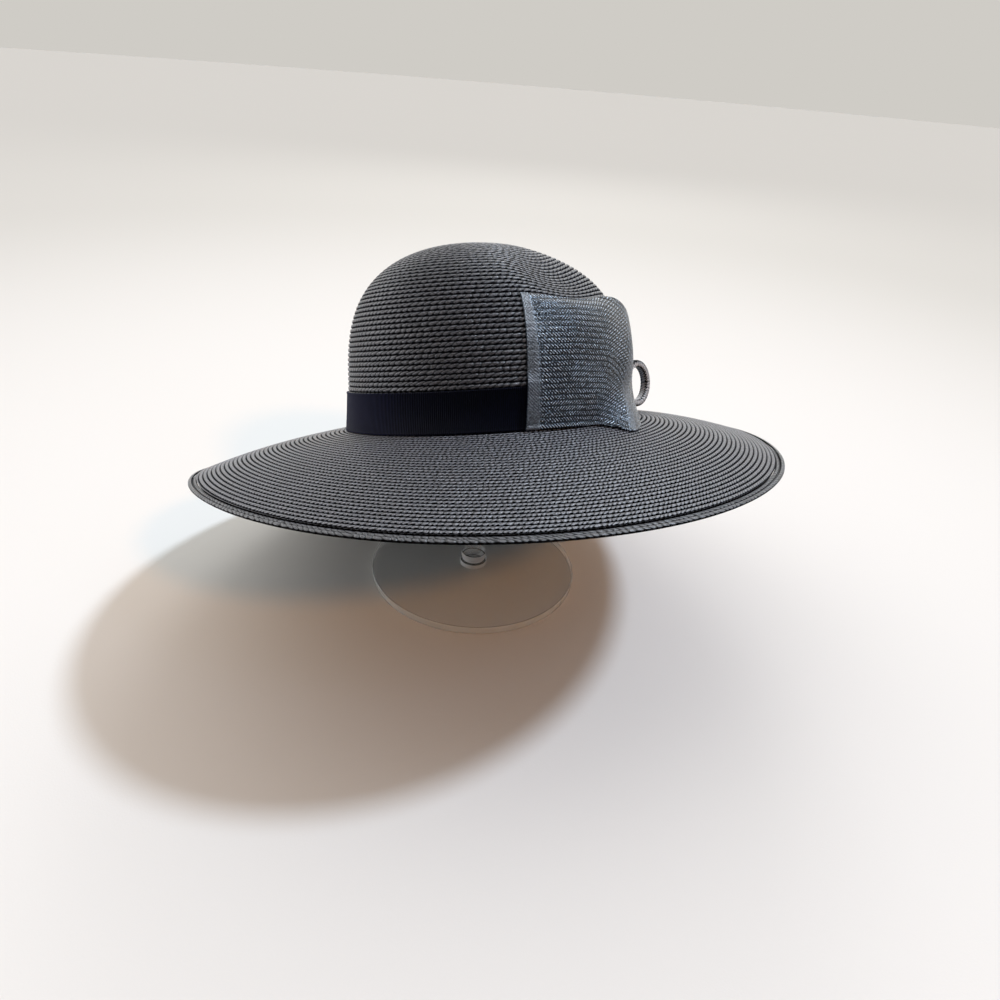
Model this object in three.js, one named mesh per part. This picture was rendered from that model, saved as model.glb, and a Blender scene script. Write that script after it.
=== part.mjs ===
// A wide-brimmed church hat of sewn straw braid, tilted on a clear display stand.
// Units are millimetres and +Z is up. The origin is the centre of the stand's underside.
// The hat is modelled upright in a frame of its own, with its origin at the middle of the head line,
// and is then leaned over on the stand. A turn is an angle round the crown, from +X towards +Y.
import * as THREE from "three";

// Clearance between pieces that are sewn or laid on each other.
const GAP = 0.3;

// Head line, where crown and brim meet: half the crown's outside, across and from front to back.
const HEAD_HALF_WIDTH = 96;
const HEAD_HALF_DEPTH = 91.5;
const STRAW_WALL = 2;

// Crown. The powers square the dome's profile off, from a round one at 2.
const CROWN_HEIGHT = 118.5;
const CROWN_WALL_HEIGHT = 29.6;
const DOME_RISE_POWER = 2.64;
const DOME_REACH_POWER = 2.11;
const CROWN_WAIST = 0.014;
const CROWN_TOP_SHIFT = -3;
const CROWN_BELLY_SHIFT = 3.6;
const CROWN_TOP_SLOPE = -0.021;
const CROWN_COLUMNS = 56;
const WALL_STEPS = 2;
const DOME_STEPS = 12;

// The soft hollow pressed into the crown's shoulder, and the way it is pressed.
const DENT_CENTRE = new THREE.Vector3(49, -44, 95);
const DENT_RADIUS = 44;
const DENT_DEPTH = 8;
const DENT_PUSH = new THREE.Vector3(-0.3, 0.3, -0.9).normalize();

// Brim. It droops from the head line to the rim, steeper towards the rim, and its edge rolls up and
// down round the hat in two long waves and three weak ones.
const BRIM_WIDTH = 103.6;
const BRIM_DROOP = 32.9;
const BRIM_STRAIGHT_SHARE = 0.58;
const BRIM_WAVES = [
  { count: 2, height: 11, turnDegrees: 21.9 },
  { count: 3, height: -2.4, turnDegrees: -10.5 },
];
const BRIM_COLUMNS = 80;
const BRIM_STEPS = 6;

// The doubled outermost row of braid, which stiffens the rim.
const RIM_WIDTH = 5;
const RIM_THICKNESS = 3.4;

// Inch-wide ribbon round the foot of the crown.
const RIBBON_WIDTH = 25.4;
const RIBBON_THICKNESS = 1;
const RIBBON_STEPS = 2;

// Side panel: a strip of finer braid cloth sewn round the right side of the crown, with one
// standing pleat in it. Each row of the table is a place along the strip. It gives the turn and the
// stand-off from the crown at the brim, halfway up and at the top edge, then the top edge's height.
// Where the ring is sewn on, the pleat is pinched towards the crown by the depth in its last column.
const PANEL_THICKNESS = 1.2;
const PANEL_ROWS = 8;
const PANEL_STEPS_BETWEEN = 4;
const PANEL_BRIM_CLEARANCE = 1.35;
const PINCH_SHARE = 0.33;
const PINCH_SPREAD = 0.17;
const PANEL_PLACES = [
  { at: "front hem", turns: [-75.4, -74.9, -73.3], offs: [2.6, 2.6, 1.7], top: 79.8, pinch: 0 },
  { at: "front", turns: [-64, -62, -59], offs: [3.6, 2.7, 1.7], top: 78.4, pinch: 0 },
  { at: "front quarter", turns: [-54, -50, -45], offs: [5, 2.8, 1.7], top: 77.6, pinch: 0 },
  { at: "pleat root", turns: [-46.5, -39.5, -31], offs: [6.6, 3.6, 2], top: 77.2, pinch: 0 },
  { at: "pleat face", turns: [-43, -33, -20], offs: [13, 5, 3.8], top: 75.6, pinch: 2 },
  { at: "before the fold", turns: [-41, -27, -12.5], offs: [20.5, 7.4, 6.4], top: 71.5, pinch: 4.4 },
  { at: "fold", turns: [-39, -23.5, -8.5], offs: [23.4, 8.6, 7.6], top: 66.5, pinch: 5.4 },
  { at: "behind the fold", turns: [-33, -19, -5], offs: [20.5, 8, 7.2], top: 61.5, pinch: 4.2 },
  { at: "pleat back", turns: [-19, -9, 0], offs: [10, 5, 5], top: 57.5, pinch: 0.8 },
  { at: "side", turns: [-3, 2, 6], offs: [3.2, 2.7, 2.7], top: 56, pinch: 0 },
  { at: "back quarter", turns: [13, 14, 15], offs: [2.6, 2.6, 2.6], top: 55, pinch: 0 },
  { at: "back hem", turns: [27, 27, 27], offs: [2.6, 2.6, 2.6], top: 55, pinch: 0 },
];

// Ring loop of rolled braid, sewn by its edge to the panel and standing out from the side.
const RING_OUTER_RADIUS = 17;
const RING_SECTION = { radial: 5, axial: 6.6, cornerPower: 0.6 };
const RING_SEAT_TURN_DEGREES = 9;
const RING_OUTWARD_DEGREES = 48;
const RING_CENTRE_HEIGHT = 18;
const RING_SEAT_OFF = 4.6;
const RING_SEGMENTS = 28;
const RING_SECTION_SIDES = 12;

// Clear stand, turned about its own axis.
const BASE_RADIUS = 79;
const BASE_THICKNESS = 6;
const BASE_BEVEL = 0.8;
const STEM_RADIUS = 6;
const PAD_RADIUS = 20;
const PAD_EDGE_HEIGHT = 4;
const PAD_DOME_HEIGHT = 7;
const PAD_BEVEL = 1;
const PAD_STEPS = 6;
const STAND_HEIGHT = 244.2;
const STAND_SEGMENTS = { base: 72, collar: 32, stem: 28, pad: 36 };

// The collar's profile, up from its foot: two stacked rims with a groove between them.
const COLLAR_HEIGHT = 11;
const COLLAR_PROFILE = [
  { radius: 9.7, height: 0 },
  { radius: 10.5, height: 0.8 },
  { radius: 10.5, height: 3.6 },
  { radius: 8, height: 5 },
  { radius: 8, height: 6 },
  { radius: 9.5, height: 7.2 },
  { radius: 9.5, height: 10 },
  { radius: 8.5, height: COLLAR_HEIGHT },
];

// The hat on the stand: its head line's middle, and how it leans and turns.
const HAT_ORIGIN = new THREE.Vector3(2.1, 0.1, 129.8);
const HAT_LEAN_DEGREES = { x: -19.2, y: -7.9, z: 1.6 };

const radians = THREE.MathUtils.degToRad;
const clamp = THREE.MathUtils.clamp;

// A point on the crown's outside, at a turn and a height above the head line.
function crownPoint(turn, height) {
  const share = clamp(height / CROWN_HEIGHT, 0, 1);
  const domeHeight = CROWN_HEIGHT - CROWN_WALL_HEIGHT;
  const domeShare = clamp((height - CROWN_WALL_HEIGHT) / domeHeight, 0, 1);
  const dome = (1 - domeShare ** DOME_RISE_POWER) ** (1 / DOME_REACH_POWER);
  const reach = dome * (1 - CROWN_WAIST * Math.sin(Math.PI * share));
  const shift = CROWN_TOP_SHIFT * share ** 2 + 4 * CROWN_BELLY_SHIFT * share * (1 - share);
  const x = HEAD_HALF_WIDTH * reach * Math.cos(turn) + shift;
  const y = HEAD_HALF_DEPTH * reach * Math.sin(turn);
  const point = new THREE.Vector3(x, y, height + CROWN_TOP_SLOPE * x * share ** 3);
  const nearness = 1 - Math.min(point.distanceTo(DENT_CENTRE) / DENT_RADIUS, 1);
  const depth = DENT_DEPTH * Math.sin((nearness * Math.PI) / 2) ** 2;
  return point.addScaledVector(DENT_PUSH, depth);
}

// The crown's outward direction, from two short steps on its surface.
function crownNormal(turn, height) {
  const step = 0.01;
  const low = Math.min(height, CROWN_HEIGHT - 1);
  const round = crownPoint(turn + step, low).sub(crownPoint(turn - step, low));
  const up = crownPoint(turn, low + step).sub(crownPoint(turn, low - step));
  return round.cross(up).normalize();
}

// A point at a stand-off from the crown's outside. Below the head line it keeps the wall's plan.
function offCrown(turn, height, off) {
  const wallHeight = Math.max(height, 0);
  const point = crownPoint(turn, wallHeight).addScaledVector(crownNormal(turn, wallHeight), off);
  point.z += height - wallHeight;
  return point;
}

// A point on the brim's upper face, at a turn and a share of its width. A negative share reaches
// in under the crown's wall.
function brimPoint(turn, share) {
  const drop = Math.max(share, 0);
  const curve = BRIM_STRAIGHT_SHARE * drop + (1 - BRIM_STRAIGHT_SHARE) * drop ** 2;
  let height = -GAP - BRIM_DROOP * curve;
  for (const wave of BRIM_WAVES) {
    height += wave.height * drop * Math.cos(wave.count * (turn - radians(wave.turnDegrees)));
  }
  const x = (HEAD_HALF_WIDTH + BRIM_WIDTH * share) * Math.cos(turn);
  const y = (HEAD_HALF_DEPTH + BRIM_WIDTH * share) * Math.sin(turn);
  return new THREE.Vector3(x, y, height);
}

// Joins two matching grids of points, an outer and an inner skin, into one closed body. Rows go up
// or inwards, and the points of a row go round by rising turn. A round row's end meets its start.
// With a pair of tips the last rows close in to a point on each skin.
function shellGeometry(outer, inner, { round = true, tips = null } = {}) {
  const columns = outer[0].length;
  const rows = outer.length;
  const points = [...outer.flat(), ...inner.flat(), ...(tips ?? [])];
  const triangles = [];
  const quad = (a, b, c, d) => triangles.push(a, b, c, a, c, d);
  const out = (row, column) => row * columns + (column % columns);
  const back = (row, column) => rows * columns + out(row, column);
  const lastColumn = round ? columns : columns - 1;
  for (let c = 0; c < lastColumn; c += 1) {
    for (let r = 0; r < rows - 1; r += 1) {
      quad(out(r, c), out(r, c + 1), out(r + 1, c + 1), out(r + 1, c));
      quad(back(r, c), back(r + 1, c), back(r + 1, c + 1), back(r, c + 1));
    }
    quad(out(0, c), back(0, c), back(0, c + 1), out(0, c + 1));
    const top = rows - 1;
    if (tips) {
      triangles.push(out(top, c), out(top, c + 1), 2 * rows * columns);
      triangles.push(back(top, c), 2 * rows * columns + 1, back(top, c + 1));
    } else {
      quad(out(top, c), out(top, c + 1), back(top, c + 1), back(top, c));
    }
  }
  if (!round) {
    for (let r = 0; r < rows - 1; r += 1) {
      quad(out(r, 0), out(r + 1, 0), back(r + 1, 0), back(r, 0));
      const end = columns - 1;
      quad(out(r, end), back(r, end), back(r + 1, end), out(r + 1, end));
    }
  }
  const geometry = new THREE.BufferGeometry().setFromPoints(points);
  geometry.setIndex(triangles);
  geometry.computeVertexNormals();
  return geometry;
}

// The turns at which a round piece has its columns.
function turnsRound(columns) {
  return Array.from({ length: columns }, (_, column) => (column / columns) * 2 * Math.PI);
}

function buildCrown() {
  const heights = [];
  for (let step = 0; step < WALL_STEPS; step += 1) {
    heights.push((CROWN_WALL_HEIGHT * step) / WALL_STEPS);
  }
  for (let step = 0; step < DOME_STEPS; step += 1) {
    const angle = ((step / DOME_STEPS) * Math.PI) / 2;
    const rise = Math.sin(angle) ** (2 / DOME_RISE_POWER);
    heights.push(CROWN_WALL_HEIGHT + (CROWN_HEIGHT - CROWN_WALL_HEIGHT) * rise);
  }
  const turns = turnsRound(CROWN_COLUMNS);
  const outer = heights.map((height) => turns.map((turn) => crownPoint(turn, height)));
  const inner = heights.map((height) => turns.map((turn) => offCrown(turn, height, -STRAW_WALL)));
  for (const point of inner[0]) {
    point.z = 0;
  }
  const tip = crownPoint(0, CROWN_HEIGHT);
  const innerTip = tip.clone().setZ(tip.z - STRAW_WALL);
  return shellGeometry(outer, inner, { tips: [tip, innerTip] });
}

// A skin of the brim, from one share of its width in to another, raised or lowered by a distance.
function brimSkin(fromShare, toShare, steps, rise) {
  const rows = [];
  for (let step = 0; step <= steps; step += 1) {
    const share = fromShare + ((toShare - fromShare) * step) / steps;
    rows.push(
      turnsRound(BRIM_COLUMNS).map((turn) => {
        const point = brimPoint(turn, share);
        return point.setZ(point.z + rise);
      }),
    );
  }
  return rows;
}

function buildBrim() {
  const outerShare = 1 - (RIM_WIDTH + GAP) / BRIM_WIDTH;
  const innerShare = -STRAW_WALL / BRIM_WIDTH;
  const upper = brimSkin(outerShare, innerShare, BRIM_STEPS, 0);
  const lower = brimSkin(outerShare, innerShare, BRIM_STEPS, -STRAW_WALL);
  return shellGeometry(upper, lower);
}

function buildRim() {
  const proud = (RIM_THICKNESS - STRAW_WALL) / 2;
  const innerShare = 1 - RIM_WIDTH / BRIM_WIDTH;
  const upper = brimSkin(1, innerShare, 1, proud);
  const lower = brimSkin(1, innerShare, 1, -STRAW_WALL - proud);
  return shellGeometry(upper, lower);
}

function buildRibbon() {
  const skin = (off) => {
    const rows = [];
    for (let step = 0; step <= RIBBON_STEPS; step += 1) {
      const height = GAP + (RIBBON_WIDTH * step) / RIBBON_STEPS;
      rows.push(turnsRound(CROWN_COLUMNS).map((turn) => offCrown(turn, height, off)));
    }
    return rows;
  };
  return shellGeometry(skin(GAP + RIBBON_THICKNESS), skin(GAP));
}

// The value at a share of the way through three levels, on the parabola through them.
function throughLevels([low, middle, high], share) {
  const fromLow = low * (1 - share) * (1 - 2 * share);
  const fromMiddle = 4 * middle * share * (1 - share);
  const fromHigh = high * share * (2 * share - 1);
  return fromLow + fromMiddle + fromHigh;
}

// The panel's middle surface: a smooth curve along the strip for each row of its height.
function panelRows() {
  const rows = [];
  for (let row = 0; row <= PANEL_ROWS; row += 1) {
    const share = row / PANEL_ROWS;
    const pinched = Math.exp(-(((share - PINCH_SHARE) / PINCH_SPREAD) ** 2));
    const places = PANEL_PLACES.map(({ turns, offs, top, pinch }) => {
      const foot = brimPoint(radians(turns[0]), offs[0] / BRIM_WIDTH).z + PANEL_BRIM_CLEARANCE;
      const turn = radians(throughLevels(turns, share));
      return offCrown(turn, foot + (top - foot) * share, throughLevels(offs, share) - pinch * pinched);
    });
    const curve = new THREE.CatmullRomCurve3(places, false, "centripetal");
    rows.push(curve.getPoints((PANEL_PLACES.length - 1) * PANEL_STEPS_BETWEEN));
  }
  return rows;
}

function buildPanel() {
  const middle = panelRows();
  const columns = middle[0].length;
  const skin = (off) =>
    middle.map((points, row) =>
      points.map((point, column) => {
        const next = points[Math.min(column + 1, columns - 1)];
        const before = points[Math.max(column - 1, 0)];
        const above = middle[Math.min(row + 1, PANEL_ROWS)][column];
        const below = middle[Math.max(row - 1, 0)][column];
        const normal = next.clone().sub(before).cross(above.clone().sub(below)).normalize();
        return point.clone().addScaledVector(normal, off);
      }),
    );
  return shellGeometry(skin(PANEL_THICKNESS / 2), skin(-PANEL_THICKNESS / 2), { round: false });
}

// A cosine or sine raised to the power that squares off the ring's section.
function squaredOff(value) {
  return Math.sign(value) * Math.abs(value) ** RING_SECTION.cornerPower;
}

// The ring stands on edge: its axis is Y, and its mesh turns it to face outwards.
function buildRing() {
  const profile = [];
  const middleRadius = RING_OUTER_RADIUS - RING_SECTION.radial / 2;
  for (let side = 0; side <= RING_SECTION_SIDES; side += 1) {
    const angle = ((side % RING_SECTION_SIDES) / RING_SECTION_SIDES) * 2 * Math.PI;
    const radius = middleRadius + (RING_SECTION.radial / 2) * squaredOff(Math.cos(angle));
    profile.push(new THREE.Vector2(radius, (RING_SECTION.axial / 2) * squaredOff(Math.sin(angle))));
  }
  return new THREE.LatheGeometry(profile, RING_SEGMENTS);
}

// A lathe turns its profile about Y, so the stand's pieces are rolled upright, Y to Z.
function turned(profile, segments) {
  const points = profile.map(([radius, height]) => new THREE.Vector2(radius, height));
  return new THREE.LatheGeometry(points, segments).rotateX(Math.PI / 2);
}

function buildStandBase() {
  const inner = BASE_RADIUS - BASE_BEVEL;
  const profile = [
    [0, 0],
    [inner, 0],
    [BASE_RADIUS, BASE_BEVEL],
    [BASE_RADIUS, BASE_THICKNESS - BASE_BEVEL],
    [inner, BASE_THICKNESS],
    [0, BASE_THICKNESS],
  ];
  return turned(profile, STAND_SEGMENTS.base);
}

function buildStandCollar() {
  const foot = BASE_THICKNESS + GAP;
  const rims = COLLAR_PROFILE.map(({ radius, height }) => [radius, foot + height]);
  return turned([[0, foot], ...rims, [0, foot + COLLAR_HEIGHT]], STAND_SEGMENTS.collar);
}

function buildStandStem() {
  const foot = BASE_THICKNESS + GAP + COLLAR_HEIGHT + GAP;
  const top = STAND_HEIGHT - PAD_DOME_HEIGHT - PAD_EDGE_HEIGHT - GAP;
  const profile = [
    [0, foot],
    [STEM_RADIUS, foot],
    [STEM_RADIUS, top],
    [0, top],
  ];
  return turned(profile, STAND_SEGMENTS.stem);
}

// Low dome on a straight edge, which carries the crown from inside.
function buildStandPad() {
  const edge = STAND_HEIGHT - PAD_DOME_HEIGHT;
  const profile = [
    [0, edge - PAD_EDGE_HEIGHT],
    [PAD_RADIUS - PAD_BEVEL, edge - PAD_EDGE_HEIGHT],
    [PAD_RADIUS, edge - PAD_EDGE_HEIGHT + PAD_BEVEL],
  ];
  for (let step = 0; step < PAD_STEPS; step += 1) {
    const angle = ((step / PAD_STEPS) * Math.PI) / 2;
    profile.push([PAD_RADIUS * Math.cos(angle), edge + PAD_DOME_HEIGHT * Math.sin(angle)]);
  }
  profile.push([0, edge + PAD_DOME_HEIGHT]);
  return turned(profile, STAND_SEGMENTS.pad);
}

function namedMesh(name, geometry, material) {
  const mesh = new THREE.Mesh(geometry, material);
  mesh.name = name;
  return mesh;
}

function finish(color, roughness) {
  return new THREE.MeshStandardMaterial({ color, roughness, metalness: 0 });
}

const hat = new THREE.Group();
hat.add(
  namedMesh("crown", buildCrown(), finish(0x3a3c44, 0.45)),
  namedMesh("brim", buildBrim(), finish(0x3a3c44, 0.45)),
  namedMesh("rim_edge", buildRim(), finish(0x303238, 0.5)),
  namedMesh("ribbon_band", buildRibbon(), finish(0x14141d, 0.7)),
  namedMesh("side_panel", buildPanel(), finish(0x2f3c4a, 0.35)),
);

const ring = namedMesh("ring_loop", buildRing(), finish(0x26272c, 0.5));
const seatTurn = radians(RING_SEAT_TURN_DEGREES);
const outward = radians(RING_OUTWARD_DEGREES);
const outwards = new THREE.Vector3(Math.cos(outward), Math.sin(outward), 0);
ring.position.copy(offCrown(seatTurn, RING_CENTRE_HEIGHT, RING_SEAT_OFF));
ring.position.addScaledVector(outwards, RING_OUTER_RADIUS);
ring.rotation.z = outward;
hat.add(ring);

hat.position.copy(HAT_ORIGIN);
hat.rotation.x = radians(HAT_LEAN_DEGREES.x);
hat.rotation.y = radians(HAT_LEAN_DEGREES.y);
hat.rotation.z = radians(HAT_LEAN_DEGREES.z);

const stand = new THREE.Group();
const standPieces = {
  stand_base: buildStandBase(),
  stand_collar: buildStandCollar(),
  stand_stem: buildStandStem(),
  stand_pad: buildStandPad(),
};
for (const [name, geometry] of Object.entries(standPieces)) {
  const clear = finish(0xf4f6f6, 0.06);
  clear.transparent = true;
  clear.opacity = 0.35;
  stand.add(namedMesh(name, geometry, clear));
}

const churchHat = new THREE.Group();
churchHat.add(hat, stand);

export default churchHat;
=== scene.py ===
# %% [markdown]
# # A wide-brimmed church hat of sewn straw braid
# The hat is black straw braid, sewn in one long spiral from the tip of the crown to the rim. A ribbed
# ribbon goes round the foot of the crown. A strip of finer, shinier braid cloth wraps the right side,
# folds up into one pleat, and carries a small ring of rolled braid. The hat hangs tilted on a clear
# stand.
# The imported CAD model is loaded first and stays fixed. It says where each piece is and how large it is.

# %% Loading the frame
import math

import bmesh
import bpy
import numpy as np
from mathutils import Matrix


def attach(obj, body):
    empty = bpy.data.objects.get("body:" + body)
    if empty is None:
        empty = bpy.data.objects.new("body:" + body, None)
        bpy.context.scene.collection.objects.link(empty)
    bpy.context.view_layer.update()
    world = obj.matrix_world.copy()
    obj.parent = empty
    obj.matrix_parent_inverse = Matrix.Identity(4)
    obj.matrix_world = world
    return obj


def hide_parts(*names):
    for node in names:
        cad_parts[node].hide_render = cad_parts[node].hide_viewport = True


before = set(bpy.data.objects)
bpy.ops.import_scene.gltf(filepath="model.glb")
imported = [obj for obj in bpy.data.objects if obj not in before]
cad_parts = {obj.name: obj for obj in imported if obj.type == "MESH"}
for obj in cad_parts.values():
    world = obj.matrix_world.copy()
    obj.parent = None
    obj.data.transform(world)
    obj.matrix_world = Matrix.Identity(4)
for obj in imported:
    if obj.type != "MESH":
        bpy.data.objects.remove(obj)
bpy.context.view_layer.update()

# %% [markdown]
# ## Where the hat sits
# A hat is easiest to describe standing upright, with its origin in the middle of the head line. So every
# shape below is worked out there, in millimetres, and one function then leans it over onto the stand
# and turns it into metres. The lean is the one that the CAD model has.

# %% The hat's own frame
MM = 0.001
HAT_ORIGIN = np.array([2.1, 0.1, 129.8])
HAT_LEAN = {"X": -19.2, "Y": -7.9, "Z": 1.6}

lean = Matrix.Identity(3)
for axis, degrees in HAT_LEAN.items():
    lean = lean @ Matrix.Rotation(math.radians(degrees), 3, axis)
LEAN = np.array(lean)


def on_stand(points):
    """Points in the hat's own millimetres, as metres in the shared frame."""
    return (points @ LEAN.T + HAT_ORIGIN) * MM


print("the crown's axis points to", np.round(LEAN[:, 2], 3))

# %% [markdown]
# ## The crown's shape
# The crown is a squared-off dome on a short straight wall. Two powers square its profile off, the way a
# superellipse does, a little shift leans its top over, and one soft hollow is pressed into its near
# right shoulder. These are the CAD model's own numbers and formulas, so both models agree. They are
# written for whole arrays at once, because a crown needs some fifty thousand points.

# %% A point on the crown
HEAD_HALF_WIDTH, HEAD_HALF_DEPTH = 96.0, 91.5
STRAW_WALL = 2.0
CROWN_HEIGHT, CROWN_WALL_HEIGHT = 118.5, 29.6
DOME_RISE_POWER, DOME_REACH_POWER = 2.64, 2.11
CROWN_WAIST, CROWN_TOP_SHIFT, CROWN_BELLY_SHIFT, CROWN_TOP_SLOPE = 0.014, -3.0, 3.6, -0.021
DENT_CENTRE, DENT_RADIUS, DENT_DEPTH = np.array([49.0, -44.0, 95.0]), 44.0, 8.0
DENT_PUSH = np.array([-0.3, 0.3, -0.9]) / np.linalg.norm([-0.3, 0.3, -0.9])


def crown_point(turn, height):
    """Points on the crown's outside, at turns in radians and heights above the head line."""
    turn, height = np.broadcast_arrays(turn, height)
    share = np.clip(height / CROWN_HEIGHT, 0, 1)
    dome_share = np.clip((height - CROWN_WALL_HEIGHT) / (CROWN_HEIGHT - CROWN_WALL_HEIGHT), 0, 1)
    dome = (1 - dome_share**DOME_RISE_POWER) ** (1 / DOME_REACH_POWER)
    reach = dome * (1 - CROWN_WAIST * np.sin(math.pi * share))
    shift = CROWN_TOP_SHIFT * share**2 + 4 * CROWN_BELLY_SHIFT * share * (1 - share)
    x = HEAD_HALF_WIDTH * reach * np.cos(turn) + shift
    y = HEAD_HALF_DEPTH * reach * np.sin(turn)
    points = np.stack([x, y, height + CROWN_TOP_SLOPE * x * share**3], axis=-1)
    nearness = 1 - np.minimum(np.linalg.norm(points - DENT_CENTRE, axis=-1) / DENT_RADIUS, 1)
    return points + DENT_PUSH * (DENT_DEPTH * np.sin(nearness * math.pi / 2) ** 2)[..., None]


def direction(vectors):
    """The same vectors, one millimetre long."""
    return vectors / np.linalg.norm(vectors, axis=-1, keepdims=True)


def off_crown(turn, height, off):
    """Points at a stand-off from the crown's outside. Below the head line they keep the wall's plan."""
    turn, height, off = np.broadcast_arrays(turn, height, off)
    wall_height = np.maximum(height, 0)
    low, step = np.minimum(wall_height, CROWN_HEIGHT - 1), 0.01
    round_way = crown_point(turn + step, low) - crown_point(turn - step, low)
    up_way = crown_point(turn, low + step) - crown_point(turn, low - step)
    points = crown_point(turn, wall_height) + direction(np.cross(round_way, up_way)) * off[..., None]
    points[..., 2] += height - wall_height
    return points


print("tip of the crown, hat mm:", np.round(crown_point(0.0, CROWN_HEIGHT), 1))

# %% [markdown]
# ## The brim's shape
# The brim leaves the head line gently, droops more towards its rim, and rolls up and down round the hat
# in two long waves and three weak ones.

# %% A point on the brim
GAP = 0.3
BRIM_WIDTH, BRIM_DROOP, BRIM_STRAIGHT_SHARE = 103.6, 32.9, 0.58
BRIM_WAVES = [(2, 11.0, math.radians(21.9)), (3, -2.4, math.radians(-10.5))]


def brim_point(turn, share):
    """Points on the brim's upper face, at turns and shares of its width."""
    turn, share = np.broadcast_arrays(turn, share)
    drop = np.maximum(share, 0)
    curve = BRIM_STRAIGHT_SHARE * drop + (1 - BRIM_STRAIGHT_SHARE) * drop**2
    z = -GAP - BRIM_DROOP * curve
    for count, height, start in BRIM_WAVES:
        z = z + height * drop * np.cos(count * (turn - start))
    x = (HEAD_HALF_WIDTH + BRIM_WIDTH * share) * np.cos(turn)
    y = (HEAD_HALF_DEPTH + BRIM_WIDTH * share) * np.sin(turn)
    return np.stack([x, y, z], axis=-1)


def off_brim(turn, share, off):
    """Points at a distance above the brim's upper face, or below it where that is negative."""
    turn, share, off = np.broadcast_arrays(turn, share, off)
    out_way = brim_point(turn, share + 0.001) - brim_point(turn, share - 0.001)
    round_way = brim_point(turn + 0.001, share) - brim_point(turn - 0.001, share)
    return brim_point(turn, share) + direction(np.cross(out_way, round_way)) * off[..., None]


rim_heights = brim_point(np.linspace(0, 2 * math.pi, 73), 1.0)[:, 2]
print(f"the rim rolls between {rim_heights.min():.0f} and {rim_heights.max():.0f} mm")

# %% [markdown]
# ## The camera
# The photo looks down on the hat by about 31 degrees from half a metre away, and is held a little out of
# level. Its place and angle were worked out from the outlines of the brim, the crown and the stand's
# plate, so the camera is set by numbers. The lens is what a phone's main camera has.

# %% The camera
CAMERA_PLACE = (0.0172, -0.4863, 0.3520)
CAMERA_PITCH, CAMERA_ROLL = math.radians(30.55), math.radians(4.70)
CAMERA_SENSOR_WIDTH, CAMERA_LENS = 36, 27.04

ahead = np.array([0, math.cos(CAMERA_PITCH), -math.sin(CAMERA_PITCH)])
level_right = np.array([1.0, 0, 0])
level_down = np.cross(ahead, level_right)
right = math.cos(CAMERA_ROLL) * level_right - math.sin(CAMERA_ROLL) * level_down
down = math.sin(CAMERA_ROLL) * level_right + math.cos(CAMERA_ROLL) * level_down

camera_data = bpy.data.cameras.new("camera")
camera_data.sensor_width, camera_data.lens = CAMERA_SENSOR_WIDTH, CAMERA_LENS
camera_data.clip_start, camera_data.clip_end = 0.01, 50
camera = bpy.data.objects.new("camera", camera_data)
camera_turn = Matrix(np.stack([right, -down, -ahead], axis=1)).to_4x4()
camera.matrix_world = Matrix.Translation(CAMERA_PLACE) @ camera_turn
bpy.context.scene.collection.objects.link(camera)
bpy.context.scene.camera = camera
print("camera at", CAMERA_PLACE)

# %% [markdown]
# ## Two ways to make a skin
# Sewn braid is one strip that winds round and round. A spiral skin copies that: each ring of points
# slides outwards by one row's width in one turn, so that the end of a row meets the start of the next.
# All other round pieces are a closed outline carried round the hat or round the stand.
# Both give every corner of a face a pair of numbers, its place along the row, counted in tufts of the
# plait, and its place across, counted in rows. The materials draw plait, stitches and ribs from those.

# %% Spiral and swept skins
def spiral_skin(place, rows, shape, columns, tufts):
    """Points, faces and corner pairs of a skin of `rows` sewn rows, from its start outwards.

    place(turn, run, lift) gives points, with the run counted in rows. shape lists a row's section as
    pairs of a share across it and a lift. tufts lists how many tufts of plait each row holds."""
    samples = len(shape)
    across = np.append((np.arange(-1, rows)[:, None] + [share for share, _ in shape]).ravel(), rows)
    lift = np.append(np.tile([rise for _, rise in shape], rows + 1), shape[0][1])
    turn = np.arange(columns) / columns
    points = place(2 * math.pi * turn, np.clip(across[:, None] + turn, 0, rows), lift[:, None])
    last = len(across) - 1
    ring, column = np.meshgrid(np.arange(last), np.arange(columns), indexing="ij")
    wraps = column == columns - 1
    beside = np.where(wraps, np.minimum(ring + samples, last) * columns, ring * columns + column + 1)
    beside_next = np.where(
        wraps, np.minimum(ring + 1 + samples, last) * columns, (ring + 1) * columns + column + 1
    )
    here, next_one = ring * columns + column, (ring + 1) * columns + column
    faces = np.stack([here, next_one, beside_next, beside], axis=-1).reshape(-1, 4)
    count = np.asarray(tufts)[np.maximum(ring // samples - 1, 0)]
    along, along_next = count * column / columns, count * (column + 1) / columns
    low, high = across[ring], across[ring + 1]
    pairs = np.stack([along, low, along, high, along_next, high, along_next, low], axis=-1)
    return points.reshape(-1, 3), faces, pairs.reshape(-1, 4, 2)


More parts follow.
